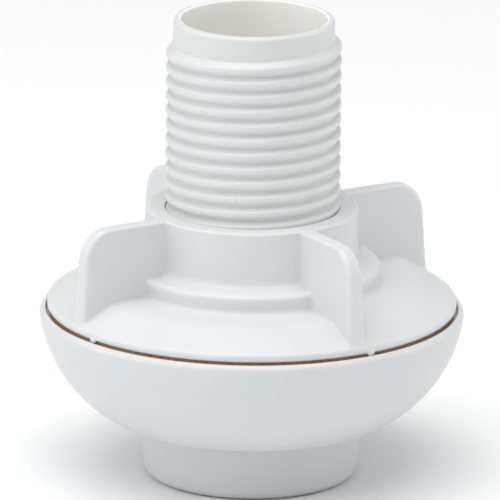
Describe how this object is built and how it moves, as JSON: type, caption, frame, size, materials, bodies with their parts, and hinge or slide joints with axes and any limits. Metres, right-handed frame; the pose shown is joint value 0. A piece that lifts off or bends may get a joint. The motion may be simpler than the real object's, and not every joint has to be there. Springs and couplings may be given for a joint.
{
  "type": "thru hull fitting",
  "caption": "Plastic thru-hull fitting: hollow bowl flange with pipe socket, threaded barrel, seal ring and a wing nut that clamps the hull.",
  "frame": {"origin": "centre of the socket's end face, the lowest face of the fitting", "axes": "+Z along the bore, from the socket up to the open end of the threaded barrel; +X and +Y across, with a wing 31.3 degrees from +X towards +Y"},
  "size_m": [0.1156, 0.1156, 0.1276],
  "materials": {
    "cool_white_plastic": "satin moulded",
    "warm_white_plastic": "satin moulded",
    "brown_seal": "matt fibre and rubber"
  },
  "bodies": {
    "bowl_and_barrel": {"hull_bowl": "cool_white_plastic", "threaded_barrel": "warm_white_plastic"},
    "ring": {"seal_ring": "brown_seal"},
    "nut": {"wing_nut": "cool_white_plastic"}
  },
  "joints": [
    {"name": "nut_travel", "type": "slide", "parent": "bowl_and_barrel", "child": "ring", "axis": [0, 0, 1], "range_m": [0, 0.048]},
    {"name": "nut_turn", "type": "hinge", "parent": "ring", "child": "nut", "pos_m": [0, 0, 0.06], "axis": [0, 0, 1], "range_deg": [0, 4320]}
  ],
  "couplings": [
    {"joint": "nut_travel", "follows": "nut_turn", "m_per_rad": 0.00063662}
  ]
}
